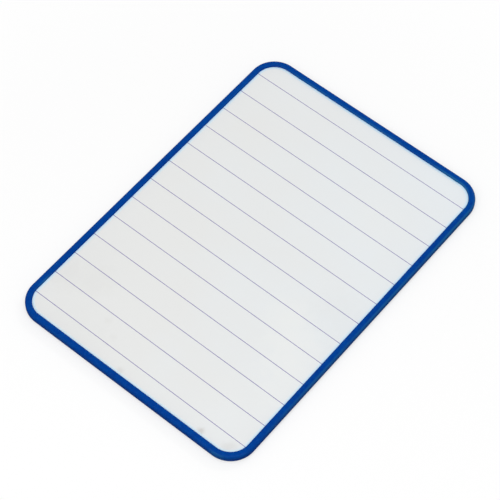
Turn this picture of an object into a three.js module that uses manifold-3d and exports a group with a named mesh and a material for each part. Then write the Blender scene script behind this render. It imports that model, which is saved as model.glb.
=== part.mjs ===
// Magnetic whiteboard, A4 lap size, lying on its rear face
//
// A laminated panel has a coated steel sheet bonded to each side of a fibreboard core. A moulded rim
// in two halves closes around the panel's edge: the front half carries locating ribs and snap hooks,
// and the rear half takes the hooks in notches. The two halves meet at the panel's mid-plane.
//
// Lengths are in millimetres. X runs across the board, Y along it, and Z out of the front face.
// The model is built about the panel's mid-plane and lifted at the end to stand on Z = 0.

import * as THREE from "three";
import { mergeVertices } from "three/addons/utils/BufferGeometryUtils.js";
import Module from "manifold-3d";

const wasm = await Module();
wasm.setup();

// Overall outline
const boardWidth = 210;
const boardLength = 297;
const cornerRadius = 21;

// Laminated panel
const sheetThickness = 0.25;
const filmThickness = 0.125;
const coreThickness = 2;
const filmSetback = 0.5; // glue line held back from the cut edge of the sheets

// Rim section, across one side
const rimFace = 5.25; // width of the rim as seen from the front
const rimRise = 2; // height of the rim above the writing face
const outerFillet = 2.2;
const innerFillet = 1.2;
const partingBevel = 0.2; // bevel on both halves, which draws the fine groove around the edge
const outerWall = 1.2;
const crownWall = 1.4; // thickness of the rim over its hollow
const landWidth = 1; // strip inside the lip that presses on the sheet
const hollowFillet = 0.5;

// Fit of the panel between the ribs
const panelClearance = 0.3;
const writingMargin = 0.3; // from the lip's inner edge to the flat area that is free for writing

// Locating ribs, across the hollow of both halves
const ribPitch = 30; // wanted spacing, which each side rounds to an odd number of bays
const ribThickness = 0.8;
const ribRelief = 0.1; // ribs stay this much off the sheet, so that only the land presses on it
const ribStart = 0.3; // front ribs leave the wall this far from the parting plane
const spigotDepth = 0.8; // how far the front ribs reach into the rear half
const spigotClearance = 0.2;
const spigotEndGap = 0.3;

// Snap hooks on the front half and their notches in the rear half
const hookLength = 8;
const hookThickness = 0.85;
const hookGap = 0.45; // room for the hook to bend back from the outer wall
const catchBite = 0.25; // how far the hook's nose reaches into the notch
const catchDepth = 0.6; // from the parting plane to the catch face of the nose
const catchLand = 0.25; // height of the nose's blunt edge
const hookTipGap = 0.3;
const notchClearance = 0.12;
const notchEndClearance = 0.3;

// Fineness of the rounded stretches
const cornerSteps = 12;
const filletSteps = 6;
const embed = 0.25; // how far a rib or hook is rooted in the wall that carries it

// Levels above the panel's mid-plane, the same on both sides of it
const filmLevel = coreThickness / 2;
const sheetLevel = filmLevel + filmThickness;
const writingLevel = sheetLevel + sheetThickness;
const rimLevel = writingLevel + rimRise;
const hollowLevel = rimLevel - crownWall;

// Insets from the board's outline
const hookFace = outerWall + hookGap;
const ribTip = hookFace + hookThickness;
const panelInset = ribTip + panelClearance;
const landInset = rimFace - landWidth;

const frameBlue = { color: 0x004499, roughness: 0.38, metalness: 0 };
const boardWhite = { color: 0xe5e8e7, roughness: 0.18, metalness: 0 };
const fibreBrown = { color: 0x9a7b58, roughness: 0.9, metalness: 0 };
const glueClear = { color: 0xd8d2b8, roughness: 0.45, metalness: 0 };

// One corner of the rounded outline and the side that follows it, for each quarter turn
const quarters = [0, 1, 2, 3].map((turn) => {
  const alongY = turn % 2 === 0;
  const normal = new THREE.Vector3(1, 0, 0).applyAxisAngle(new THREE.Vector3(0, 0, 1), (turn * Math.PI) / 2);
  return {
    startAngle: (turn * Math.PI) / 2,
    normal: normal.round(),
    reach: (alongY ? boardWidth : boardLength) / 2,
    straight: (alongY ? boardLength : boardWidth) - 2 * cornerRadius,
  };
});

// Points of the board's outline, moved inward by an inset, at one height
function outlineLoop(inset, height) {
  const radius = cornerRadius - inset;
  const corner = new THREE.Vector2(boardWidth / 2 - cornerRadius, boardLength / 2 - cornerRadius);
  return quarters.flatMap(({ startAngle }) => {
    const diagonal = startAngle + Math.PI / 4;
    const centreX = Math.sign(Math.cos(diagonal)) * corner.x;
    const centreY = Math.sign(Math.sin(diagonal)) * corner.y;
    return Array.from({ length: cornerSteps + 1 }, (_, step) => {
      const angle = startAngle + ((step / cornerSteps) * Math.PI) / 2;
      const x = centreX + radius * Math.cos(angle);
      const y = centreY + radius * Math.sin(angle);
      return new THREE.Vector3(x, y, height);
    });
  });
}

// Closed surface through a row of loops, which closes on itself as a ring or is capped at its ends
function loftLoops(loops, isRing) {
  const around = loops[0].length;
  const triangles = [];
  const bands = isRing ? loops.length : loops.length - 1;
  for (let band = 0; band < bands; band += 1) {
    const lower = band * around;
    const upper = ((band + 1) % loops.length) * around;
    for (let i = 0; i < around; i += 1) {
      const next = (i + 1) % around;
      triangles.push(lower + i, lower + next, upper + next);
      triangles.push(lower + i, upper + next, upper + i);
    }
  }
  if (!isRing) {
    const last = (loops.length - 1) * around;
    for (const [a, b, c] of THREE.ShapeUtils.triangulateShape(loops[0], [])) {
      triangles.push(c, b, a);
    }
    for (const [a, b, c] of THREE.ShapeUtils.triangulateShape(loops.at(-1), [])) {
      triangles.push(last + a, last + b, last + c);
    }
  }
  const geometry = new THREE.BufferGeometry().setFromPoints(loops.flat());
  geometry.setIndex(triangles);
  return geometry;
}

// Section of the rim's shell as a closed line, x being the inset from the outline and y the height
function shellSection() {
  const line = new THREE.Path();
  line.moveTo(outerWall, 0);
  line.lineTo(partingBevel, 0);
  line.lineTo(0, partingBevel);
  line.lineTo(0, rimLevel - outerFillet);
  line.absarc(outerFillet, rimLevel - outerFillet, outerFillet, Math.PI, Math.PI / 2, true);
  line.lineTo(rimFace - innerFillet, rimLevel);
  line.absarc(rimFace - innerFillet, rimLevel - innerFillet, innerFillet, Math.PI / 2, 0, true);
  line.lineTo(rimFace, writingLevel);
  line.lineTo(landInset, writingLevel);
  line.lineTo(landInset, hollowLevel);
  line.lineTo(outerWall + hollowFillet, hollowLevel);
  line.absarc(outerWall + hollowFillet, hollowLevel - hollowFillet, hollowFillet, Math.PI / 2, Math.PI, false);
  const points = line.getPoints(filletSteps / 2); // a path draws an arc in twice the steps it is given
  return points.filter((point, i) => i === 0 || point.distanceTo(points[i - 1]) > 1e-6);
}

// The solid of a geometry, with its shared vertices merged
function toSolid(geometry) {
  const bare = geometry.clone();
  bare.deleteAttribute("normal");
  bare.deleteAttribute("uv");
  const merged = mergeVertices(bare, 1e-5);
  const vertProperties = new Float32Array(merged.attributes.position.array);
  const triVerts = new Uint32Array(merged.index.array);
  return new wasm.Manifold(new wasm.Mesh({ numProp: 3, vertProperties, triVerts }));
}

function toGeometry(solid) {
  const mesh = solid.getMesh();
  const geometry = new THREE.BufferGeometry();
  geometry.setAttribute("position", new THREE.BufferAttribute(mesh.vertProperties, 3));
  geometry.setIndex(new THREE.BufferAttribute(mesh.triVerts, 1));
  geometry.computeVertexNormals();
  return geometry;
}

// A section drawn as inset and height, extruded along the rim and centred on a station of it
function acrossRim(section, length, { point, normal }) {
  const shape = new THREE.Shape(section.map(([inset, height]) => new THREE.Vector2(inset, height)));
  const inward = normal.clone().negate();
  const up = new THREE.Vector3(0, 0, 1);
  const along = new THREE.Vector3().crossVectors(inward, up);
  const start = point.clone().addScaledVector(along, -length / 2);
  const geometry = new THREE.ExtrudeGeometry(shape, { depth: length, bevelEnabled: false });
  geometry.applyMatrix4(new THREE.Matrix4().makeBasis(inward, up, along).setPosition(start));
  return toSolid(geometry);
}

// Each straight side is divided into an odd number of bays, which leaves a bay in its middle
function bayCount(straight) {
  return 2 * Math.round((straight / ribPitch - 1) / 2) + 1;
}

function sideStation({ normal, reach }, distance) {
  const along = new THREE.Vector3(-normal.y, normal.x, 0);
  const point = normal.clone().multiplyScalar(reach).addScaledVector(along, distance);
  return { point, normal };
}

// Ribs stand at both ends of every bay, and one more halfway around each corner
function ribStations() {
  const onSides = quarters.flatMap((side) => {
    const bays = bayCount(side.straight);
    return Array.from({ length: bays + 1 }, (_, i) => sideStation(side, (i / bays - 0.5) * side.straight));
  });
  const onCorners = quarters.map(({ startAngle }) => {
    const diagonal = startAngle + Math.PI / 4;
    const normal = new THREE.Vector3(Math.cos(diagonal), Math.sin(diagonal), 0);
    const x = Math.sign(normal.x) * (boardWidth / 2 - cornerRadius);
    const y = Math.sign(normal.y) * (boardLength / 2 - cornerRadius);
    return { point: new THREE.Vector3(x, y, 0).addScaledVector(normal, cornerRadius), normal };
  });
  return [...onSides, ...onCorners];
}

// Hooks stand in the middle of every second bay, so both ends of a side are alike
function hookStations() {
  return quarters.flatMap((side) => {
    const bays = bayCount(side.straight);
    const hooked = Array.from({ length: (bays - 1) / 2 }, (_, i) => 2 * i + 1);
    return hooked.map((bay) => sideStation(side, ((bay + 0.5) / bays - 0.5) * side.straight));
  });
}

// The part of a rib that crosses over the sheet's margin to the land is alike in both halves
const ribOverSheet = [
  [ribTip, writingLevel + ribRelief],
  [landInset + embed, writingLevel + ribRelief],
  [landInset + embed, hollowLevel + embed],
  [outerWall - embed, hollowLevel + embed],
];
const frontRib = [
  [outerWall - embed, ribStart],
  [outerWall + spigotClearance, ribStart],
  [outerWall + spigotClearance, -spigotDepth],
  [ribTip, -spigotDepth],
  ...ribOverSheet,
];
const rearRib = [
  [outerWall - embed, spigotDepth + spigotEndGap],
  [ribTip, spigotDepth + spigotEndGap],
  ...ribOverSheet,
];

const noseInset = outerWall - catchBite;
const hookTip = hookTipGap - hollowLevel;
const snapHook = [
  [hookFace, hollowLevel + embed],
  [hookFace, -catchDepth],
  [noseInset, -catchDepth],
  [noseInset, -catchDepth - catchLand],
  [hookFace, hookTip],
  [ribTip, hookTip],
  [ribTip, hollowLevel + embed],
];
const hookNotch = [
  [noseInset - notchClearance, catchDepth - notchClearance],
  [outerWall + embed, catchDepth - notchClearance],
  [outerWall + embed, -hookTip],
  [noseInset - notchClearance, catchDepth + catchLand + notchClearance],
];

// Both halves share one shell, seen with its outer face up
function rimShell() {
  return toSolid(loftLoops(shellSection().map(({ x, y }) => outlineLoop(x, y)), true));
}

function frontFrame() {
  let solid = rimShell();
  for (const station of ribStations()) solid = solid.add(acrossRim(frontRib, ribThickness, station));
  for (const station of hookStations()) solid = solid.add(acrossRim(snapHook, hookLength, station));
  return toGeometry(solid);
}

function rearFrame() {
  const notchLength = hookLength + 2 * notchEndClearance;
  let solid = rimShell();
  for (const station of ribStations()) solid = solid.add(acrossRim(rearRib, ribThickness, station));
  for (const station of hookStations()) solid = solid.subtract(acrossRim(hookNotch, notchLength, station));
  return toGeometry(solid);
}

// A flat layer between two levels, with the panel's outline less a setback
function panelLayer(bottom, top, setback = 0) {
  const inset = panelInset + setback;
  return loftLoops([outlineLoop(inset, bottom), outlineLoop(inset, top)], false);
}

// A sheet's outer face is parted along the lip's opening, so the free writing area is one flat face
function writingSheet() {
  const edge = panelInset;
  const window = rimFace + writingMargin;
  return loftLoops(
    [outlineLoop(edge, sheetLevel), outlineLoop(edge, writingLevel), outlineLoop(window, writingLevel)],
    false,
  );
}

function named(name, geometry, finish) {
  const mesh = new THREE.Mesh(geometry, new THREE.MeshStandardMaterial(finish));
  mesh.name = name;
  return mesh;
}

// The pieces of one side, seen with that side up
const frontSide = new THREE.Group();
frontSide.add(
  named("front_frame", frontFrame(), frameBlue),
  named("front_writing_sheet", writingSheet(), boardWhite),
  named("front_adhesive_film", panelLayer(filmLevel, sheetLevel, filmSetback), glueClear),
);

const rearSide = new THREE.Group();
rearSide.add(
  named("rear_frame", rearFrame(), frameBlue),
  named("rear_writing_sheet", writingSheet(), boardWhite),
  named("rear_adhesive_film", panelLayer(filmLevel, sheetLevel, filmSetback), glueClear),
);
rearSide.rotation.x = Math.PI;

const board = new THREE.Group();
board.add(frontSide, rearSide, named("core_board", panelLayer(-filmLevel, filmLevel), fibreBrown));
board.position.z = rimLevel;

export default board;
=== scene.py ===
# %% [markdown]
# Magnetic whiteboard on a plain pale table.
# The board is a thin laminated panel, coated steel on both sides of a fibreboard core, held in a
# blue moulded rim. Its front face is printed with thin rules. The construction comes from the
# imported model, and this lesson gives it its surfaces: the rim as a finely rounded moulding, the two
# enamelled sheets, the printed rules, and the light that shows them.

# %% Load the frame
import math

import bmesh
import bpy
from mathutils import Matrix, Vector


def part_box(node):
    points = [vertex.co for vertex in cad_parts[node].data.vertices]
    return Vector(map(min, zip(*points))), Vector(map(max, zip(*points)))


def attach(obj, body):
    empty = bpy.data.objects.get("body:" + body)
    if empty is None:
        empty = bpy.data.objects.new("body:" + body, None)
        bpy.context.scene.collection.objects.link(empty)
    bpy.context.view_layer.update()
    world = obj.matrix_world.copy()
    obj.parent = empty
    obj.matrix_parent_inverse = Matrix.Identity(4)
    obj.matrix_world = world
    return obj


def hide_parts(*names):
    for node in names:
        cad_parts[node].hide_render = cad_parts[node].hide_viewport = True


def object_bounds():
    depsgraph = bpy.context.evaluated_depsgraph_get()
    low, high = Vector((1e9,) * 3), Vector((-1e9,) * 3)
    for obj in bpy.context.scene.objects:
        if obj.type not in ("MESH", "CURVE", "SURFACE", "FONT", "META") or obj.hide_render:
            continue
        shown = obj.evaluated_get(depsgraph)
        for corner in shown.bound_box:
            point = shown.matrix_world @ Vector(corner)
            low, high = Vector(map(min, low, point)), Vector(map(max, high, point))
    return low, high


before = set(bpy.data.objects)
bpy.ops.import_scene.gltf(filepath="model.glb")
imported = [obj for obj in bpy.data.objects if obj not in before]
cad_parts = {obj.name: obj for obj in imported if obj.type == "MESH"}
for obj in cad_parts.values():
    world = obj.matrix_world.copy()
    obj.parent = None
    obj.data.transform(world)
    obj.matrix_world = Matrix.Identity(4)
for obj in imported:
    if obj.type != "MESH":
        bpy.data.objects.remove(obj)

MM = 0.001
cad_bounds = [list(corner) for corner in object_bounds()]
print("model box, mm:", [[round(value / MM, 2) for value in corner] for corner in cad_bounds])

# %% [markdown]
# The outline and the levels are read from the model's own pieces, so that a piece made here sits
# where the model has it. They could be typed in as numbers, but such a number goes wrong unseen as
# soon as the model changes. What a box can't tell, such as a radius or a wall, stands in the cell
# that first needs it.

# %% Sizes of the board
half_width, half_length, thickness = cad_bounds[1]
mid_level = thickness / 2

sheet_low, sheet_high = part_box("front_writing_sheet")
writing_level = sheet_high.z
sheet_thickness = sheet_high.z - sheet_low.z
panel_inset = half_width - sheet_high.x
print("writing face at", round(writing_level / MM, 3), "mm")
print("panel inset", round(panel_inset / MM, 3), "mm")


# %% [markdown]
# Colours are written as sRGB hex values, as a paint or print shop gives them. Blender's shaders
# work with linear light. Its numbers could be typed straight into a socket, but nobody can tell a
# colour from them, so one function turns a hex value into them.

# %% Colours
def linear(hex_colour):
    """The linear RGBA of an sRGB colour such as #004499."""
    channels = [int(hex_colour[i : i + 2], 16) / 255 for i in (1, 3, 5)]
    curved = [c / 12.92 if c <= 0.04045 else ((c + 0.055) / 1.055) ** 2.4 for c in channels]
    return (*curved, 1.0)


print("mid grey #808080 is", round(linear("#808080")[0], 3), "in linear light")


# %% [markdown]
# A material is a small graph of nodes. One helper adds a node with its settings, the numbers on its
# inputs and the links into it, so that each material below reads as a list of what it is made of.

# %% Material helpers
def add_node(material, kind, settings=None, inputs=None, links=None):
    """Adds a node to a material and returns it."""
    tree = material.node_tree
    node = tree.nodes.new(kind)
    for name, value in (settings or {}).items():
        setattr(node, name, value)
    for name, value in (inputs or {}).items():
        node.inputs[name].default_value = value
    for name, source in (links or {}).items():
        tree.links.new(source, node.inputs[name])
    return node


def new_material(name):
    """An empty material that later cells fill with nodes."""
    material = bpy.data.materials.new(name)
    material.use_nodes = True
    material.node_tree.nodes.clear()
    return material


def show_surface(material, shader):
    """Joins a shader to the material's output."""
    add_node(material, "ShaderNodeOutputMaterial", links={"Surface": shader.outputs[0]})


print("helpers:", add_node.__name__, new_material.__name__, show_surface.__name__)


# %% [markdown]
# The camera looks down on the board from its lower right, from far away through a long lens, so the
# long sides hardly run together. It could be set by eye, but the rim is thin, and a pixel too far
# to one side would show. So its place was worked out from the rim's four sides and four corners.

# %% Camera
camera_azimuth = math.radians(39.43)
camera_elevation = math.radians(58.21)
camera_roll = math.radians(0.1)
camera_distance = 1.4513
aim_point = Vector((-1.7 * MM, -2.4 * MM, mid_level))
frame_pixels = 500
focal_pixels = 1956.8

camera_data = bpy.data.cameras.new("camera")
camera_data.sensor_width = 36.0
camera_data.lens = camera_data.sensor_width * focal_pixels / frame_pixels
camera = bpy.data.objects.new("camera", camera_data)
bpy.context.scene.collection.objects.link(camera)

towards_camera = Vector(
    (
        math.sin(camera_azimuth) * math.cos(camera_elevation),
        -math.cos(camera_azimuth) * math.cos(camera_elevation),
        math.sin(camera_elevation),
    )
)
looking = towards_camera.to_track_quat("Z", "Y").to_matrix().to_4x4()
camera.matrix_world = (
    Matrix.Translation(aim_point + camera_distance * towards_camera)
    @ looking
    @ Matrix.Rotation(camera_roll, 4, "Z")
)
camera_data.clip_start = 0.05
camera_data.clip_end = 50  # far enough for the whole table
bpy.context.scene.camera = camera
print("camera at", [round(value, 3) for value in camera.matrix_world.translation])


# %% [markdown]
# The board lies on a plain table. A real one ends somewhere, and has a wall or a backdrop behind
# it. One flat square, far wider than any view of the board, does for both and never shows an edge.

# %% Table
def link_piece(name, mesh):
    """Makes an object of a mesh and puts it in the scene."""
    piece = bpy.data.objects.new(name, mesh)
    bpy.context.scene.collection.objects.link(piece)
    return piece


table_half = 6.0
table_signs = ((-1, -1), (1, -1), (1, 1), (-1, 1))
table_corners = [(x * table_half, y * table_half, 0) for x, y in table_signs]
table_mesh = bpy.data.meshes.new("table")
table_mesh.from_pydata(table_corners, [], [(0, 1, 2, 3)])
table = link_piece("table", table_mesh)
print("table:", 2 * table_half, "m square")


# %% [markdown]
# Paper and room should look plain white, and yet not flood the board with light. Brighter lamps
# would whiten them as well, but they would burn out the pale writing face. Blender's Light Path
# node tells what kind of ray has hit a surface. So the white is kept for the rays that look at it:
# from the camera, in a mirror-like reflection, or through something clear.

# %% Rays that see the white
white_rays = ("Is Camera Ray", "Is Glossy Ray", "Is Transmission Ray")


def seen_directly(owner):
    """A value of 1 for the rays that see plain white, and 0 for those that only carry light."""
    ray = add_node(owner, "ShaderNodeLightPath")
    seen_by = ray.outputs[white_rays[0]]
    for kind in white_rays[1:]:
        either = add_node(
            owner,
            "ShaderNodeMath",
            {"operation": "MAXIMUM"},
            links={0: seen_by, 1: ray.outputs[kind]},
        )
        seen_by = either.outputs[0]
    return seen_by


print("plain white for", len(white_rays), "kinds of ray:", ", ".join(white_rays))

# %% [markdown]
# The table is covered with white paper. The photograph was cut out on pure white, and its rim is
# dark below, so the paper does two jobs. To the rays that look at it, it is white paper with some
# glow of its own, which keeps it white and leaves the board's shadow on it pale. To the light that
# bounces onto the board it is a mid grey, so the underside of the rim stays dark. A lit sheet alone
# would do close to the board, but it turns grey away from the lamps, and its light would fill the
# shade below the rim.

# %% White paper
glow_start = 0.14
glow_end = 0.4
least_glow = 0.55

paper = new_material("White_paper_table")
paper_seen = seen_directly(paper)
paper_tone = add_node(
    paper,
    "ShaderNodeMix",
    {"data_type": "RGBA"},
    {"A": linear("#909090"), "B": linear("#fefefe")},
    {"Factor": paper_seen},
)
paper_surface = add_node(
    paper, "ShaderNodeBsdfDiffuse", links={"Color": paper_tone.outputs["Result"]}
)
paper_glow = add_node(
    paper, "ShaderNodeEmission", inputs={"Color": linear("#ffffff"), "Strength": 1.0}
)
paper_place = add_node(paper, "ShaderNodeTexCoord")
from_board = add_node(
    paper,
    "ShaderNodeVectorMath",
    {"operation": "LENGTH"},
    links={0: paper_place.outputs["Object"]},
)
glow_near = add_node(
    paper,
    "ShaderNodeMapRange",
    {"interpolation_type": "SMOOTHSTEP"},
    {"From Min": glow_start, "From Max": glow_end, "To Min": least_glow, "To Max": 1.0},
    {"Value": from_board.outputs["Value"]},
)
glow_share = add_node(
    paper,
    "ShaderNodeMath",
    {"operation": "MULTIPLY"},
    links={0: paper_seen, 1: glow_near.outputs["Result"]},
)
paper_shader = add_node(
    paper,
    "ShaderNodeMixShader",
    links={0: glow_share.outputs[0], 1: paper_surface.outputs[0], 2: paper_glow.outputs[0]},
)
show_surface(paper, paper_shader)
table_mesh.materials.append(paper)
print("paper:", len(paper.node_tree.nodes), "nodes, plain glow from", glow_end, "m out")


# %% [markdown]
# Product light: a large softbox above the camera's shoulder, far from the direction that the glossy
# sheet mirrors to the camera, and two small ones low at the front and the back, which only draw
# small highlights on the rounded rim. One lamp could light the whole board, but the fillets that
# turn away from it would look flat.

# %% Lamps
def add_lamp(name, azimuth, elevation, distance, size, level):
    """A square soft lamp, aimed at the board, that adds a share of plain daylight to its face."""
    direction = Vector(
        (
            math.cos(math.radians(azimuth)) * math.cos(math.radians(elevation)),
            math.sin(math.radians(azimuth)) * math.cos(math.radians(elevation)),
            math.sin(math.radians(elevation)),
        )
    )
    data = bpy.data.lights.new(name, "AREA")
    data.shape = "SQUARE"
    data.size = size
    # A white face below a lamp of P watts shows P * direction.z / (pi * distance)**2 of full white.
    data.energy = level * math.pi**2 * distance**2 / direction.z
    lamp = bpy.data.objects.new(name, data)
    bpy.context.scene.collection.objects.link(lamp)
    lamp.location = direction * distance
    lamp.rotation_euler = direction.to_track_quat("Z", "Y").to_euler()
    return lamp


softboxes = [
    # name, azimuth and elevation in degrees, distance and size in metres, share of daylight
    ("overhead_softbox", -52, 73, 2.0, 1.9, 0.48),
    ("front_softbox", -97, 42, 1.6, 0.2, 0.06),
    ("back_softbox", 87, 36, 1.6, 0.2, 0.06),
]
for softbox in softboxes:
    lamp = add_lamp(*softbox)
    print(lamp.name, round(lamp.data.energy, 1), "W")

# %% [markdown]
# The room around the lamps is evenly pale, as in a white studio. Its walls could be built, but
# nothing of them would show, so a plain background does. It gives the board about half of its
# light, and to the camera and in reflections it is white like the paper.

# %% Surroundings
room_level = 0.5
studio = bpy.data.worlds.new("studio")
studio.use_nodes = True
studio.node_tree.nodes.clear()
bpy.context.scene.world = studio
room_strength = add_node(
    studio,
    "ShaderNodeMapRange",
    inputs={"To Min": room_level, "To Max": 1.0},
    links={"Value": seen_directly(studio)},
)
room_light = add_node(
    studio,
    "ShaderNodeBackground",
    inputs={"Color": linear("#ffffff")},
    links={"Strength": room_strength.outputs["Result"]},
)
add_node(studio, "ShaderNodeOutputWorld", links={"Surface": room_light.outputs[0]})

bpy.context.scene.view_settings.view_transform = "Standard"
print("the room lights the board to", room_level, "of full white")


# %% [markdown]
# Every piece of the board follows the same rounded outline, drawn in by an inset. A bevelled curve
# could draw it too, but a function that gives the outline as a ring of points keeps the corners of
# all pieces on the same centres.

# %% Rounded outline
corner_radius = 21 * MM
corner_steps = 32
straight_steps = 12


def outline(inset, level):
    """Points of the board's rounded outline, drawn in by an inset, at one height."""
    radius = corner_radius - inset
    points = []
    signs = ((1, 1), (-1, 1), (-1, -1), (1, -1))
    for turn, (sign_x, sign_y) in enumerate(signs):
        centre_x = sign_x * (half_width - corner_radius)
        centre_y = sign_y * (half_length - corner_radius)
        for step in range(corner_steps + 1):
            angle = (turn + step / corner_steps) * math.pi / 2
            x = centre_x + radius * math.cos(angle)
            y = centre_y + radius * math.sin(angle)
            points.append(Vector((x, y, level)))
        next_x, next_y = signs[(turn + 1) % len(signs)]
        end_angle = (turn + 1) * math.pi / 2
        side_end = Vector(
            (
                next_x * (half_width - corner_radius) + radius * math.cos(end_angle),
                next_y * (half_length - corner_radius) + radius * math.sin(end_angle),
                level,
            )
        )
        side_start = points[-1]
        for step in range(1, straight_steps):
            points.append(side_start.lerp(side_end, step / straight_steps))
    return points


print("points around the outline:", len(outline(0, 0)))


# %% [markdown]
# A second function joins rings into a surface, quad by quad. Closed on itself the surface is a rim,
# and with a face over its first and its last ring it is a sheet. Edges sharper than forty degrees
# stay sharp, and all others are shaded round.

# %% Loft
sharp_angle = math.radians(40)


def loft(name, rings, closed):
    """A mesh through a row of rings, closed on itself for a rim, or capped at both ends."""
    around = len(rings[0])
    faces = []
    bands = len(rings) if closed else len(rings) - 1
    for band in range(bands):
        lower = band * around
        upper = (band + 1) % len(rings) * around
        for i in range(around):
            j = (i + 1) % around
            faces.append((lower + i, lower + j, upper + j, upper + i))
    if not closed:
        last = (len(rings) - 1) * around
        faces.append(tuple(reversed(range(around))))
        faces.append(tuple(range(last, last + around)))
    mesh = bpy.data.meshes.new(name)
    mesh.from_pydata([point for ring in rings for point in ring], [], faces)
    mesh.validate()
    mesh.shade_smooth()
    mesh.set_sharp_from_angle(angle=sharp_angle)
    return mesh


print("edges stay sharp from", round(math.degrees(sharp_angle)), "degrees")


# %% [markdown]
# The rim is two moulded rings that meet around the middle of the edge. Each is a hollow section: a
# wall outside, a crown on top, and a thin land that presses on the sheet. The crown rolls over in a
# large fillet outside and a small one at the lip, and those two fillets are what catches the light.
# A bevel modifier could round a plain bar, but it gives all its edges one radius. So the section is
# drawn point by point, and swept around the outline ring by ring.

# %% Rim section
rim_face = 5.25 * MM
outer_fillet = 2.2 * MM
inner_fillet = 1.2 * MM
parting_bevel = 0.2 * MM
bevel_bulge = (parting_bevel * 0.3, parting_bevel * 0.35)
crown_wall = 1.4 * MM
outer_wall = 1.2 * MM
hollow_fillet = 0.5 * MM
land_inset = rim_face - 1 * MM
outer_steps, inner_steps, hollow_steps = 14, 10, 6

# heights above the parting plane
crown_height = thickness / 2
face_height = writing_level - mid_level
hollow_height = crown_height - crown_wall


def arc(centre, radius, start_degrees, end_degrees, steps):
    """Points of an arc in a section, as (inset, level) pairs."""
    angles = [
        math.radians(start_degrees + (end_degrees - start_degrees) * step / steps)
        for step in range(steps + 1)
    ]
    return [(centre[0] + radius * math.cos(a), centre[1] + radius * math.sin(a)) for a in angles]


def rim_section(side):
    """The section of one half, side 1 for the front and -1 for the rear, as (inset, level)."""
    outer_centre = (outer_fillet, crown_height - outer_fillet)
    lip_centre = (rim_face - inner_fillet, crown_height - inner_fillet)
    hollow_centre = (outer_wall + hollow_fillet, hollow_height - hollow_fillet)
    line = [(outer_wall, 0), (parting_bevel, 0), bevel_bulge, (0, parting_bevel)]
    line += arc(outer_centre, outer_fillet, 180, 90, outer_steps)
    line += arc(lip_centre, inner_fillet, 90, 0, inner_steps)
    line += [(rim_face, face_height), (land_inset, face_height), (land_inset, hollow_height)]
    line += arc(hollow_centre, hollow_fillet, 90, 180, hollow_steps)
    placed = [(inset, mid_level + side * height) for inset, height in line]
    return placed if side > 0 else placed[::-1]


print("points in the section of one half:", len(rim_section(1)))


# %% [markdown]
# Each half is that section around the outline. It stands for the model's own half, whose fillets
# are coarser, and it takes that half's place exactly. The rear half is the front one mirrored.

# %% Halves of the rim
def rim_half(name, side, node):
    """Makes one half of the rim in place of the model's own."""
    rings = [outline(inset, level) for inset, level in rim_section(side)]
    piece = link_piece(name, loft(name, rings, closed=True))
    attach(piece, "root")
    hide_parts(node)
    print(name, "has", len(piece.data.polygons), "faces")
    return piece


front_rim = rim_half("front_rim", 1, "front_frame")
rear_rim = rim_half("rear_rim", -1, "rear_frame")

# %% [markdown]
# Inside its hollow the rim carries what holds the board together: thin ribs across it that centre
# the panel, and eight millimetre wide hooks on the front half that snap into notches of the rear
# half. They show only when the rim is opened, yet each half should be a whole moulding. Each could
# be placed by hand. Stations along the sides place them all by one rule: a rib at both ends of
# every bay and halfway around each corner, a hook in every second bay.

# %% Stations for ribs and hooks
rib_pitch = 30 * MM


def bay_count(straight):
    """An odd number of bays, as near to the wanted pitch as fits."""
    return 2 * round((straight / rib_pitch - 1) / 2) + 1


def stations():
    """The places of the ribs and the hooks, each a point of the outline and its normal."""
    ribs, hooks = [], []
    for turn in range(4):
        angle = turn * math.pi / 2
        normal = Vector((round(math.cos(angle)), round(math.sin(angle)), 0))
        along = Vector((-normal.y, normal.x, 0))
        reach, other = (half_width, half_length) if turn % 2 == 0 else (half_length, half_width)
        straight = 2 * (other - corner_radius)
        bays = bay_count(straight)
        for i in range(bays + 1):
            ribs.append((normal * reach + along * (i / bays - 0.5) * straight, normal))
        for bay in range(1, bays, 2):
            hooks.append((normal * reach + along * ((bay + 0.5) / bays - 0.5) * straight, normal))
        outward = Vector((math.cos(angle + math.pi / 4), math.sin(angle + math.pi / 4), 0))
        centre_x = math.copysign(half_width - corner_radius, outward.x)
        centre_y = math.copysign(half_length - corner_radius, outward.y)
        ribs.append((Vector((centre_x, centre_y, 0)) + outward * corner_radius, outward))
    return ribs, hooks


rib_places, hook_places = stations()
print("ribs in each half:", len(rib_places), "hooks:", len(hook_places))

# %% [markdown]
# All ribs of a half have one section, drawn like the rim's as (inset, height above the parting
# plane). A front rib reaches a little into the rear half as a spigot, which centres the two halves.
# The ribs could run right up to the panel, but a board swells and moulded parts vary, so they leave
# it a little play. They end flush with the backs of the hooks, so the hooks' place comes first.

# %% Rib sections
hook_gap = 0.45 * MM
hook_thickness = 0.85 * MM
rib_relief = 0.1 * MM
rib_start = 0.3 * MM
spigot_depth = 0.8 * MM
spigot_clearance = 0.2 * MM
spigot_end_gap = 0.3 * MM
embed = 0.25 * MM  # how far a rib or a hook reaches into the wall that it joins

hook_face = outer_wall + hook_gap
rib_tip = hook_face + hook_thickness

over_sheet = [
    (rib_tip, face_height + rib_relief),
    (land_inset + embed, face_height + rib_relief),
    (land_inset + embed, hollow_height + embed),
    (outer_wall - embed, hollow_height + embed),
]
front_rib = [
    (outer_wall - embed, rib_start),
    (outer_wall + spigot_clearance, rib_start),
    (outer_wall + spigot_clearance, -spigot_depth),
    (rib_tip, -spigot_depth),
    *over_sheet,
]
rear_rib = [
    (outer_wall - embed, spigot_depth + spigot_end_gap),
    (rib_tip, spigot_depth + spigot_end_gap),
    *over_sheet,
]
print("the ribs leave the panel", round((panel_inset - rib_tip) / MM, 2), "mm of play")

# %% [markdown]
# A hook hangs down from the front half, with a sloped nose that bites a quarter of a millimetre
# into a notch in the wall of the rear half. The notch could be drawn on its own, but made from the
# hook's nose and a clearance it always fits.

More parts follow.
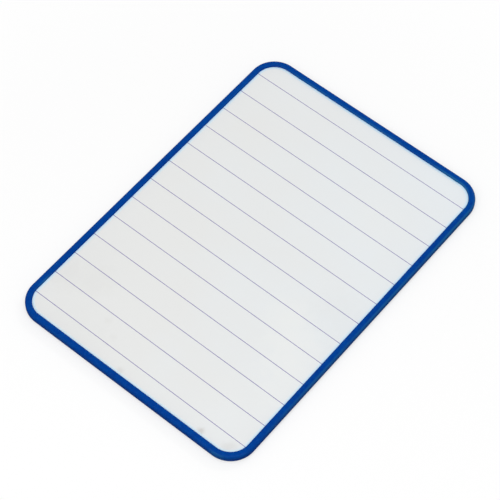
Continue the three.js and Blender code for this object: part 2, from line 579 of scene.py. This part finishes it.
# %% Hook and notch sections
catch_bite = 0.25 * MM
catch_depth = 0.6 * MM
catch_land = 0.25 * MM
hook_tip_gap = 0.3 * MM
notch_clearance = 0.12 * MM

nose_inset = outer_wall - catch_bite
hook_tip = hook_tip_gap - hollow_height

snap_hook = [
    (hook_face, hollow_height + embed),
    (hook_face, -catch_depth),
    (nose_inset, -catch_depth),
    (nose_inset, -catch_depth - catch_land),
    (hook_face, hook_tip),
    (rib_tip, hook_tip),
    (rib_tip, hollow_height + embed),
]
hook_notch = [
    (nose_inset - notch_clearance, catch_depth - notch_clearance),
    (outer_wall + embed, catch_depth - notch_clearance),
    (outer_wall + embed, -hook_tip),
    (nose_inset - notch_clearance, catch_depth + catch_land + notch_clearance),
]
print("a hook bites", round(catch_bite / MM, 2), "mm and ends", round(-hook_tip / MM, 2), "mm down")

# %% [markdown]
# A section becomes a small prism across the rim at each station. Each could be an object of its
# own. All prisms of a kind go into one mesh instead, so that one step joins them all to the rim.

# %% Prisms
def prisms(section, length, places, side):
    """A closed prism of a section at every place, in one new mesh builder."""
    shapes = bmesh.new()
    for point, normal in places:
        along = Vector((-normal.y, normal.x, 0))
        ends = []
        for shift in (-length / 2, length / 2):
            corners = []
            for inset, height in section:
                place = point - normal * inset + along * shift
                place.z = mid_level + side * height
                corners.append(shapes.verts.new(place))
            ends.append(corners)
        for i in range(len(section)):
            j = (i + 1) % len(section)
            shapes.faces.new((ends[0][i], ends[0][j], ends[1][j], ends[1][i]))
        shapes.faces.new(ends[0][::-1])
        shapes.faces.new(ends[1])
    bmesh.ops.recalc_face_normals(shapes, faces=shapes.faces)
    return shapes


print("a rib has", len(front_rib) + 2, "faces and a hook", len(snap_hook) + 2)

# %% [markdown]
# The ribs could be left as loose pieces that stick in the rim, but a moulding is one closed solid.
# So a boolean joins each mesh of prisms to the rim, or cuts the notches out of it. It keeps the
# outer surface as it is, because ribs and hooks touch the moulding only inside its hollow.

# %% Ribs, hooks and notches
rib_thickness = 0.8 * MM
hook_length = 8 * MM
notch_end_clearance = 0.3 * MM
notch_length = hook_length + 2 * notch_end_clearance


def combine(piece, operation, shapes):
    """Joins prisms to a piece, or cuts them out of it, and keeps the result as its mesh."""
    tool_mesh = bpy.data.meshes.new("prisms")
    shapes.to_mesh(tool_mesh)
    shapes.free()
    tool = link_piece("prisms", tool_mesh)
    boolean = piece.modifiers.new("inside", "BOOLEAN")
    boolean.operation = operation
    boolean.solver = "EXACT"
    boolean.object = tool
    seen = piece.evaluated_get(bpy.context.evaluated_depsgraph_get())
    combined = bpy.data.meshes.new_from_object(seen)
    piece.modifiers.clear()
    piece.data = combined
    piece.data.name = piece.name
    bpy.data.objects.remove(tool)
    combined.shade_smooth()
    combined.set_sharp_from_angle(angle=sharp_angle)


combine(front_rim, "UNION", prisms(front_rib, rib_thickness, rib_places, 1))
combine(front_rim, "UNION", prisms(snap_hook, hook_length, hook_places, 1))
combine(rear_rim, "UNION", prisms(rear_rib, rib_thickness, rib_places, -1))
combine(rear_rim, "DIFFERENCE", prisms(hook_notch, notch_length, hook_places, -1))
for rim in (front_rim, rear_rim):
    print(rim.name, "now has", len(rim.data.polygons), "faces")

# %% [markdown]
# Marks on this board follow the rim: painted highlights and a faint rub lie along the outer fillet,
# painted highlights along the lip, and ink dust with a painted reflection of the rim on the enamel
# next to the lip. So both finishes need to know how far a point lies from the outline.
# It could be painted on by vertex, but nodes can work it out at any point of the board: fold all
# four corners onto one, measure to the corner's centre, and take that from its radius. The answer
# is the inset, the same measure that the outlines use.

# %% Inset as a pattern
above_board = 1.0
corner_centre = (half_width - corner_radius, half_length - corner_radius, above_board)


def add_inset(material, place):
    """Nodes that give a point's distance in from the board's outline, in metres, at any height."""
    folded = add_node(material, "ShaderNodeVectorMath", {"operation": "ABSOLUTE"}, links={0: place})
    beyond = add_node(
        material,
        "ShaderNodeVectorMath",
        {"operation": "SUBTRACT"},
        {1: corner_centre},
        {0: folded.outputs[0]},
    )
    clipped = add_node(
        material,
        "ShaderNodeVectorMath",
        {"operation": "MAXIMUM"},
        {1: (0.0, 0.0, 0.0)},
        {0: beyond.outputs[0]},
    )
    reach = add_node(
        material, "ShaderNodeVectorMath", {"operation": "LENGTH"}, links={0: clipped.outputs[0]}
    )
    inset = add_node(
        material,
        "ShaderNodeMath",
        {"operation": "SUBTRACT"},
        {0: corner_radius},
        {1: reach.outputs["Value"]},
    )
    return inset.outputs[0]


print("corner centre, mm:", [round(value / MM, 1) for value in corner_centre[:2]])


# %% [markdown]
# Some marks have a place that one can point at. A noise alone would scatter them anywhere, so each
# is a round patch: the distance to a centre, turned into a soft spot. The point is pushed about by
# a noise first, so that the spot's outline is ragged as a smudge's is.

# %% Patches
ragged_width = 7 * MM


def add_patches(material, place, patches):
    """Nodes that give the strength of the strongest of several soft patches at a point.

    A patch is x, y and radius in millimetres, and its strength from 0 to 1.
    """
    ragged = add_node(
        material,
        "ShaderNodeTexNoise",
        inputs={"Scale": 1 / ragged_width, "Detail": 4.0, "Roughness": 0.65},
        links={"Vector": place},
    )
    centred = add_node(
        material,
        "ShaderNodeVectorMath",
        {"operation": "SUBTRACT"},
        {1: (0.5, 0.5, 0.5)},
        {0: ragged.outputs["Color"]},
    )
    strongest = None
    for x, y, radius, strength in patches:
        pushed = add_node(
            material,
            "ShaderNodeVectorMath",
            {"operation": "MULTIPLY_ADD"},
            {1: (radius * MM, radius * MM, 0.0)},
            {0: centred.outputs[0], 2: place},
        )
        distance = add_node(
            material,
            "ShaderNodeVectorMath",
            {"operation": "DISTANCE"},
            {1: (x * MM, y * MM, writing_level)},
            {0: pushed.outputs[0]},
        )
        patch = add_node(
            material,
            "ShaderNodeMapRange",
            {"interpolation_type": "SMOOTHSTEP"},
            {"From Min": radius * MM, "From Max": 0.0, "To Max": strength},
            {"Value": distance.outputs["Value"]},
        )
        if strongest:
            joined = add_node(
                material,
                "ShaderNodeMath",
                {"operation": "MAXIMUM"},
                links={0: strongest, 1: patch.outputs["Result"]},
            )
            strongest = joined.outputs[0]
        else:
            strongest = patch.outputs["Result"]
    return strongest


print("patches get ragged edges of about", round(ragged_width / MM), "mm")

# %% [markdown]
# The rim is ABS, coloured blue in the mass and moulded. Pigment spreads a little unevenly while the
# plastic flows. That leaves soft patches of one to three centimetres with a mottle of two or three
# millimetres in them. The rim is also a touch lighter towards the board's top edge. One colour would
# look like a toy's. Two noises and a slope along the board add up to one number between 0 and 1, and
# a mix takes the colour from it.

# %% Moulded blue ABS
moulded_abs = new_material("Moulded_blue_ABS")
abs_place = add_node(moulded_abs, "ShaderNodeTexCoord").outputs["Object"]
abs_flow = add_node(
    moulded_abs,
    "ShaderNodeTexNoise",
    inputs={"Scale": 1 / (25 * MM), "Detail": 7.0, "Roughness": 0.72},
    links={"Vector": abs_place},
)
abs_along = add_node(moulded_abs, "ShaderNodeSeparateXYZ", links={0: abs_place})
abs_slope = add_node(
    moulded_abs,
    "ShaderNodeMapRange",
    inputs={"From Min": -half_length, "From Max": half_length, "To Min": -0.56, "To Max": -0.5},
    links={"Value": abs_along.outputs["Y"]},
)
abs_sloped = add_node(
    moulded_abs,
    "ShaderNodeMath",
    {"operation": "ADD"},
    links={0: abs_slope.outputs["Result"], 1: abs_flow.outputs["Fac"]},
)
abs_mottle = add_node(
    moulded_abs,
    "ShaderNodeTexNoise",
    inputs={"Scale": 1 / (2.5 * MM), "Detail": 3.0, "Roughness": 0.6},
    links={"Vector": abs_place},
)
abs_spread = add_node(
    moulded_abs,
    "ShaderNodeMath",
    {"operation": "ADD", "use_clamp": True},
    links={0: abs_mottle.outputs["Fac"], 1: abs_sloped.outputs[0]},
)
abs_pigment = add_node(
    moulded_abs,
    "ShaderNodeMix",
    {"data_type": "RGBA"},
    {"A": linear("#002f83"), "B": linear("#004ca2")},
    {"Factor": abs_spread.outputs[0]},
)
print("rim colour so far:", len(moulded_abs.node_tree.nodes), "nodes")

# %% [markdown]
# Paler lines on the edges are painted highlights. They run along the outer fillet of the right side,
# where it turns to the light, and along the lip of the top, as a painted reflection of the white
# sheet. Smaller ones lie on the lip of the left side and near three corners. A noise could spread
# them evenly, but these lines have their places, so those are listed as patches.

# %% Painted highlight places
# painted highlights on the outer fillet: the right side and one corner
outer_highlights = [
    # x, y, radius in millimetres, strength
    (105, 105, 90, 0.66),
    (105, 25, 90, 0.52),
    (105, -55, 80, 0.48),
    (87, -144, 12, 0.65),
]
# painted reflection and highlights on the lip: the top, the left side and two corners
lip_highlights = [
    (78, 148, 40, 0.8),
    (0, 148, 60, 0.5),
    (-58, 148, 40, 0.45),
    (-104, 100, 40, 0.15),
    (-93, -121, 16, 0.7),
    (101, 122, 26, 0.6),
]
print("rubbed places on the rim:", len(outer_highlights) + len(lip_highlights))

# %% [markdown]
# The painted highlights could be painted on as a mask. The inset gives them more exactly: it draws a
# line along each edge, the patches say where that line counts, and their product is the painted
# highlight. The highlight lies on the fillet more than on the upright flank below it, so the outer
# line is weaker there.

# %% Painted highlights along the edges
outer_line_insets = (1.8 * MM, 0.6 * MM)  # where the outer line starts and where it is full
lip_line_insets = (3.9 * MM, 4.9 * MM)


def highlight_along(line, patches):
    """Nodes for one painted highlight line, strong in its patches."""
    worn = add_node(
        moulded_abs,
        "ShaderNodeMath",
        {"operation": "MULTIPLY"},
        links={0: line, 1: add_patches(moulded_abs, abs_place, patches)},
    )
    return worn.outputs[0]


abs_inset = add_inset(moulded_abs, abs_place)
edge_lines = []
for start, full in (outer_line_insets, lip_line_insets):
    edge_line = add_node(
        moulded_abs,
        "ShaderNodeMapRange",
        {"interpolation_type": "SMOOTHSTEP"},
        {"From Min": start, "From Max": full},
        {"Value": abs_inset},
    )
    edge_lines.append(edge_line.outputs["Result"])
fillet_line, lip_line = edge_lines
flank_share = add_node(
    moulded_abs,
    "ShaderNodeMapRange",
    inputs={"From Min": 0.05 * MM, "From Max": 0.5 * MM, "To Min": 0.65, "To Max": 1.0},
    links={"Value": abs_inset},
)
outer_band = add_node(
    moulded_abs,
    "ShaderNodeMath",
    {"operation": "MULTIPLY"},
    links={0: fillet_line, 1: flank_share.outputs["Result"]},
)
outer_line = outer_band.outputs[0]
# the stronger of the two painted highlight lines
painted_highlights = add_node(
    moulded_abs,
    "ShaderNodeMath",
    {"operation": "MAXIMUM"},
    links={0: highlight_along(outer_line, outer_highlights), 1: highlight_along(lip_line, lip_highlights)},
)
print("rim colour with its rubbed edges:", len(moulded_abs.node_tree.nodes), "nodes")

# %% [markdown]
# Between those places the outer edge isn't new either. Many more patches could be listed, but here no
# single one matters, so a noise lets a faint rub through. Whichever is the stronger, this rub or the
# painted highlight, counts, and a mix lifts the pigment's colour by it.

# %% Faint rubbing
faint_places = add_node(
    moulded_abs,
    "ShaderNodeTexNoise",
    inputs={"Scale": 1 / (18 * MM), "Detail": 5.0, "Roughness": 0.7},
    links={"Vector": abs_place},
)
faint_share = add_node(
    moulded_abs,
    "ShaderNodeMapRange",
    inputs={"From Min": 0.45, "From Max": 0.75, "To Max": 0.18},
    links={"Value": faint_places.outputs["Fac"]},
)
faint_rub = add_node(
    moulded_abs,
    "ShaderNodeMath",
    {"operation": "MULTIPLY"},
    links={0: outer_line, 1: faint_share.outputs["Result"]},
)
highlights_and_wear = add_node(
    moulded_abs,
    "ShaderNodeMath",
    {"operation": "MAXIMUM"},
    links={0: painted_highlights.outputs[0], 1: faint_rub.outputs[0]},
)
# a paler blue for the painted highlights and the faint rub
abs_tone = add_node(
    moulded_abs,
    "ShaderNodeMix",
    {"data_type": "RGBA"},
    {"B": linear("#246a9a")},
    {"Factor": highlights_and_wear.outputs[0], "A": abs_pigment.outputs["Result"]},
)
print("rim colour with wear:", len(moulded_abs.node_tree.nodes), "nodes")

# %% [markdown]
# Two things are left for the rim: the fine grain of the mould as a bump, and the shader with its
# gloss. The grain of a lightly blasted mould is about a tenth of a millimetre wide, too fine to
# show here. So it is drawn at half a millimetre, and deeper in the same proportion. ABS straight
# from a mould has a roughness near 0.3 and a gloss all over. The photograph shows hardly any gloss
# on the flat of the crown, and thin paler lines where the fillets turn. So the body is rougher and
# has no gloss of its own, and a thin coat at the IOR of ABS, 1.54, stands for the skin.

# %% Grain and gloss of the rim
abs_grain = add_node(
    moulded_abs,
    "ShaderNodeTexNoise",
    inputs={"Scale": 1 / (0.5 * MM), "Detail": 2.0, "Roughness": 0.6},
    links={"Vector": abs_place},
)
abs_bump = add_node(
    moulded_abs,
    "ShaderNodeBump",
    inputs={"Strength": 0.6, "Distance": 0.12 * MM},
    links={"Height": abs_grain.outputs["Fac"]},
)
abs_shader = add_node(
    moulded_abs,
    "ShaderNodeBsdfPrincipled",
    inputs={
        "Roughness": 0.5,
        "IOR": 1.54,
        "Specular IOR Level": 0.0,
        "Coat Weight": 0.05,
        "Coat Roughness": 0.2,
        "Coat IOR": 1.54,
    },
    links={"Base Color": abs_tone.outputs["Result"], "Normal": abs_bump.outputs["Normal"]},
)
show_surface(moulded_abs, abs_shader)
for piece in (front_rim, rear_rim):
    piece.data.materials.append(moulded_abs)
print("rim material:", len(moulded_abs.node_tree.nodes), "nodes")


# %% [markdown]
# Each writing sheet is thin steel with a baked enamel. It is flat and has the panel's rounded
# outline, with an edge that the coating has softened. One face from edge to edge would be enough
# for a flat sheet, but it would share its shading with that soft edge. Rings that step inwards keep
# them apart.

# %% Writing sheets
edge_round = 0.04 * MM
inner_rings = [rim_face, 12 * MM, 18 * MM]


def writing_sheet(name, side, node):
    """Makes the coated sheet of one side in place of the model's own."""
    face = mid_level + side * face_height
    back = face - side * sheet_thickness
    insets = [panel_inset, panel_inset, panel_inset + edge_round, *inner_rings]
    levels = [back, face - side * edge_round, *[face] * (1 + len(inner_rings))]
    rings = [outline(inset, level) for inset, level in zip(insets, levels)]
    mesh = loft(name, rings if side > 0 else rings[::-1], closed=False)
    piece = link_piece(name, mesh)
    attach(piece, "root")
    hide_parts(node)
    print(name, "has", len(mesh.polygons), "faces")
    return piece


front_sheet = writing_sheet("front_sheet", 1, "front_writing_sheet")
rear_sheet = writing_sheet("rear_sheet", -1, "rear_writing_sheet")

# %% [markdown]
# The coating is a hard pale enamel, baked on the steel. It is a plain grey white at the lower left
# of the board and a little cooler towards the upper right, with slow clouds in it from years of
# wiping. A gradient texture could make the slope. A dot product with one direction does the same
# and says which way it runs, and a noise with clouds a few centimetres wide breaks it up.

# %% Dry-erase enamel
enamel = new_material("Dry_erase_enamel_on_steel")
enamel_place = add_node(enamel, "ShaderNodeTexCoord").outputs["Object"]
enamel_cloud = add_node(
    enamel,
    "ShaderNodeTexNoise",
    inputs={"Scale": 1 / (60 * MM), "Detail": 3.0, "Roughness": 0.5},
    links={"Vector": enamel_place},
)
cool_corner = (0.88, 0.47, 0.0)
enamel_across = add_node(
    enamel,
    "ShaderNodeVectorMath",
    {"operation": "DOT_PRODUCT"},
    {1: cool_corner},
    {0: enamel_place},
)
enamel_slope = add_node(
    enamel,
    "ShaderNodeMapRange",
    inputs={"From Min": -half_length, "From Max": half_length, "To Min": -0.86, "To Max": 0.46},
    links={"Value": enamel_across.outputs["Value"]},
)
enamel_cool = add_node(
    enamel,
    "ShaderNodeMath",
    {"operation": "ADD", "use_clamp": True},
    links={0: enamel_slope.outputs["Result"], 1: enamel_cloud.outputs["Fac"]},
)
enamel_body = add_node(
    enamel,
    "ShaderNodeMix",
    {"data_type": "RGBA"},
    {"A": linear("#e7e8e7"), "B": linear("#e7ecef")},
    {"Factor": enamel_cool.outputs[0]},
)
print("enamel colour so far:", len(enamel.node_tree.nodes), "nodes")

# %% [markdown]
# In a few listed places towards the right the enamel is a shade lighter. Where ink was rubbed out
# with a finger it keeps a warm grey smudge. The same warm grey, faint and wide along the bottom lip
# and small in its corner with the right lip, is painted shade where the lip shades the sheet. These
# marks were seen at certain places, and a noise would not put them there. So each list names its
# places, and the ragged patches from above do the rest.

# %% Lighter, smudged and shaded places
# places where the enamel is a shade lighter
lighter_patches = [
    # x, y, radius in millimetres, strength
    (58, -30, 26, 0.7),
    (70, -45, 30, 0.8),
    (82, -60, 32, 0.8),
    (92, -82, 34, 0.6),
    (74, -112, 44, 0.25),
    (52, 78, 40, 0.25),
]
smudges_and_lip_shade = [
    (-8, -140, 4.5, 0.35),
    (67, -140, 4.5, 0.7),
    (-42, -115, 6, 0.14),
    (-30, -123, 5, 0.1),
    (-90, -103, 28, 0.15),
    (-73, -95, 26, 0.13),
    (-84, -86, 44, 0.06),
    (86, -6, 34, 0.09),
    # painted shade in the corner where the bottom lip meets the right one
    (91, -138, 9, 0.3),
    # painted shade along the bottom lip
    (-66, -146, 60, 0.08),
]
enamel_lightened = add_node(
    enamel,
    "ShaderNodeMix",
    {"data_type": "RGBA"},
    {"B": linear("#ebedec")},
    {
        "Factor": add_patches(enamel, enamel_place, lighter_patches),
        "A": enamel_body.outputs["Result"],
    },
)
# warm grey: smudges, and painted shade at the bottom lip
enamel_smudged_and_shaded = add_node(
    enamel,
    "ShaderNodeMix",
    {"data_type": "RGBA"},
    {"B": linear("#c9c7c2")},
    {
        "Factor": add_patches(enamel, enamel_place, smudges_and_lip_shade),
        "A": enamel_lightened.outputs["Result"],
    },
)
print(len(lighter_patches), "wiped places and", len(smudges_and_lip_shade), "smudges_and_lip_shade")

# %% [markdown]
# A thin line of pale blue runs along the lip. Part of it is blue ink dust that a cloth pushes up
# against the lip, and part is a painted reflection of the blue rim in the glossy enamel. A strip of
# its own would look like tape. As part of the enamel's colour it can fade out: the inset says how
# near the lip is, and a noise makes the line fuller and fainter along its way.

# %% Dust and painted rim reflection along the lip
lip_blue_reach = 2.6 * MM
lip_blue_full = 0.6 * MM
lip_nearness = add_node(
    enamel,
    "ShaderNodeMapRange",
    {"interpolation_type": "SMOOTHSTEP"},
    {"From Min": rim_face + lip_blue_reach, "From Max": rim_face + lip_blue_full},
    {"Value": add_inset(enamel, enamel_place)},
)
lip_blue_places = add_node(
    enamel,
    "ShaderNodeTexNoise",
    inputs={"Scale": 1 / (14 * MM), "Detail": 5.0, "Roughness": 0.7},
    links={"Vector": enamel_place},
)
lip_blue_share = add_node(
    enamel,
    "ShaderNodeMapRange",
    inputs={"From Min": 0.3, "From Max": 0.7, "To Min": 0.7, "To Max": 1.0},
    links={"Value": lip_blue_places.outputs["Fac"]},
)
dust_and_reflection = add_node(
    enamel,
    "ShaderNodeMath",
    {"operation": "MULTIPLY"},
    links={0: lip_nearness.outputs["Result"], 1: lip_blue_share.outputs["Result"]},
)
# pale blue along the lip: ink dust and a painted reflection of the blue rim
enamel_tone = add_node(
    enamel,
    "ShaderNodeMix",
    {"data_type": "RGBA"},
    {"B": linear("#d0eefd")},
    {"Factor": dust_and_reflection.outputs[0], "A": enamel_smudged_and_shaded.outputs["Result"]},
)
print("dust reaches", round(lip_blue_reach / MM, 1), "mm in from the lip")

# %% [markdown]
# Enamel has an IOR of about 1.5 and a roughness near 0.15 when new. It runs a little before it
# sets, which leaves a very slight waviness a few millimetres across, and wiping has dulled it in
# places. The waves could be modelled, but a bump as faint as this one bends a reflection just as
# well.

# %% Gloss of the enamel
enamel_wave = add_node(
    enamel,
    "ShaderNodeTexNoise",
    inputs={"Scale": 1 / (4 * MM), "Detail": 1.0, "Roughness": 0.4},
    links={"Vector": enamel_place},
)
enamel_bump = add_node(
    enamel,
    "ShaderNodeBump",
    inputs={"Strength": 0.08, "Distance": 0.03 * MM},
    links={"Height": enamel_wave.outputs["Fac"]},
)
enamel_haze = add_node(
    enamel,
    "ShaderNodeMapRange",
    inputs={"From Min": 0.3, "From Max": 0.7, "To Min": 0.14, "To Max": 0.24},
    links={"Value": enamel_cloud.outputs["Fac"]},
)
enamel_shader = add_node(
    enamel,
    "ShaderNodeBsdfPrincipled",
    inputs={"IOR": 1.5},
    links={
        "Base Color": enamel_tone.outputs["Result"],
        "Roughness": enamel_haze.outputs["Result"],
        "Normal": enamel_bump.outputs["Normal"],
    },
)
show_surface(enamel, enamel_shader)
for piece in (front_sheet, rear_sheet):
    piece.data.materials.append(enamel)
print("sheet material:", len(enamel.node_tree.nodes), "nodes")

# %% [markdown]
# The front sheet is printed with thin rules from lip to lip. They end just under the lip, so that
# no gap shows there. All could have one length, but the lowest one lies where the lip begins to
# curve in, so a function gives each rule its own.

# %% Reach of a rule
under_lip = 0.8 * MM
rule_end_inset = rim_face - under_lip


def half_span(y):
    """How far a rule at one place along the board runs to either side, to end under the lip."""
    beyond = abs(y) - (half_length - corner_radius)
    reach = half_width - rule_end_inset
    if beyond <= 0:
        return reach
    radius = corner_radius - rule_end_inset
    return half_width - corner_radius + math.sqrt(radius * radius - beyond * beyond)


print("a rule in the middle runs", round(half_span(0) / MM, 2), "mm to either side")

# %% [markdown]
# There are thirteen rules at one pitch. They could be a pattern in the enamel's colour. They are
# modelled as strips of ink film two hundredths of a millimetre thick, because a strip stays sharp
# at any size, where a pattern blurs.

# %% Printed rules
rule_count = 13
first_rule_below_top = 21.9 * MM
rule_pitch = 21.37 * MM
rule_width = 0.52 * MM
ink_height = 0.02 * MM
ink_top_share = 0.8  # how much of its width a strip keeps at the top


def rule_strip(mesh, y):
    """Adds one closed strip of ink across the board."""
    reach = half_span(y)
    low, high = writing_level, writing_level + ink_height
    half = rule_width / 2
    half_top = half * ink_top_share
    section = [(y - half, low), (y + half, low), (y + half_top, high), (y - half_top, high)]
    left = [mesh.verts.new((-reach, at, level)) for at, level in section]
    right = [mesh.verts.new((reach, at, level)) for at, level in section]
    for i in range(len(section)):
        j = (i + 1) % len(section)
        mesh.faces.new((left[i], left[j], right[j], right[i]))
    mesh.faces.new(left[::-1])
    mesh.faces.new(right)


rules_mesh = bpy.data.meshes.new("printed_rules")
strips = bmesh.new()
for number in range(rule_count):
    rule_strip(strips, half_length - first_rule_below_top - number * rule_pitch)
bmesh.ops.recalc_face_normals(strips, faces=strips.faces)
strips.to_mesh(rules_mesh)
strips.free()
printed_rules = link_piece("printed_rules", rules_mesh)
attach(printed_rules, "root")
last_rule = first_rule_below_top + (rule_count - 1) * rule_pitch
print(rule_count, "rules, the last one", round(last_rule / MM, 1), "mm below the top")

# %% [markdown]
# The rules are screen printed in a thin violet grey ink, and the enamel shows through it. Real
# transparency would cost time and show nothing more on so thin a line, so the ink is opaque in the
# tone that both make together. Such ink lies a little thicker and thinner every few millimetres, so
# its colour runs between two near tones.

# %% Rule ink
rule_ink = new_material("Printed_rule_ink")
ink_place = add_node(rule_ink, "ShaderNodeTexCoord")
ink_grain = add_node(
    rule_ink,
    "ShaderNodeTexNoise",
    inputs={"Scale": 1 / (6 * MM), "Detail": 2.0},
    links={"Vector": ink_place.outputs["Object"]},
)
ink_tone = add_node(
    rule_ink,
    "ShaderNodeMix",
    {"data_type": "RGBA"},
    {"A": linear("#7168a0"), "B": linear("#8077ae")},
    {"Factor": ink_grain.outputs["Fac"]},
)
ink_shader = add_node(
    rule_ink,
    "ShaderNodeBsdfPrincipled",
    inputs={"IOR": 1.5, "Roughness": 0.3},
    links={"Base Color": ink_tone.outputs["Result"]},
)
show_surface(rule_ink, ink_shader)
rules_mesh.materials.append(rule_ink)
print("ink material:", len(rule_ink.node_tree.nodes), "nodes")

# %% [markdown]
# The core and the two glue films are closed in by the rim, and show only if the board is taken
# apart. Their model solids stay and get a finish. The core is dense fibreboard, pressed from short
# brown fibres. Single fibres are far too fine to draw, but on the cut edge they stand out as flecks
# of a millimetre or two, and a noise of that width gives them.

# %% Fibreboard core
fibreboard = new_material("Raw_fibreboard")
fibre_place = add_node(fibreboard, "ShaderNodeTexCoord")
fibre_fleck = add_node(
    fibreboard,
    "ShaderNodeTexNoise",
    inputs={"Scale": 1 / (1.5 * MM), "Detail": 4.0, "Roughness": 0.65},
    links={"Vector": fibre_place.outputs["Object"]},
)
fibre_tone = add_node(
    fibreboard,
    "ShaderNodeMix",
    {"data_type": "RGBA"},
    {"A": linear("#80603f"), "B": linear("#b39270")},
    {"Factor": fibre_fleck.outputs["Fac"]},
)
fibre_shader = add_node(
    fibreboard,
    "ShaderNodeBsdfPrincipled",
    inputs={"Roughness": 0.9},
    links={"Base Color": fibre_tone.outputs["Result"]},
)
show_surface(fibreboard, fibre_shader)
print("core material:", len(fibreboard.node_tree.nodes), "nodes")

# %% [markdown]
# Contact adhesive is rolled on as a thin film and dries to a clear yellow skin. Where the roller
# left more, a patch of about a centimetre is darker. It could be made see-through, but between
# steel and board no light comes through it, so it is opaque with those patches.

# %% Contact adhesive
adhesive = new_material("Contact_adhesive_film")
adhesive_place = add_node(adhesive, "ShaderNodeTexCoord")
adhesive_rolled = add_node(
    adhesive,
    "ShaderNodeTexNoise",
    inputs={"Scale": 1 / (8 * MM), "Detail": 2.0},
    links={"Vector": adhesive_place.outputs["Object"]},
)
adhesive_tone = add_node(
    adhesive,
    "ShaderNodeMix",
    {"data_type": "RGBA"},
    {"A": linear("#cfc59a"), "B": linear("#e0d9b8")},
    {"Factor": adhesive_rolled.outputs["Fac"]},
)
adhesive_shader = add_node(
    adhesive,
    "ShaderNodeBsdfPrincipled",
    inputs={"IOR": 1.48, "Roughness": 0.45},
    links={"Base Color": adhesive_tone.outputs["Result"]},
)
show_surface(adhesive, adhesive_shader)
print("adhesive material:", len(adhesive.node_tree.nodes), "nodes")


# %% [markdown]
# These three solids have the right shape already. New pieces could replace them, but flat hidden
# layers would gain nothing by it. So they keep the model's own meshes, and only the material in
# their slots changes.

# %% Finish of the hidden layers
def finish_node(node, material):
    """Gives one of the model's own solids a material."""
    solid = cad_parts[node]
    solid.data.materials.clear()
    solid.data.materials.append(material)
    print(node, "is finished as", material.name)


finish_node("core_board", fibreboard)
finish_node("front_adhesive_film", adhesive)
finish_node("rear_adhesive_film", adhesive)
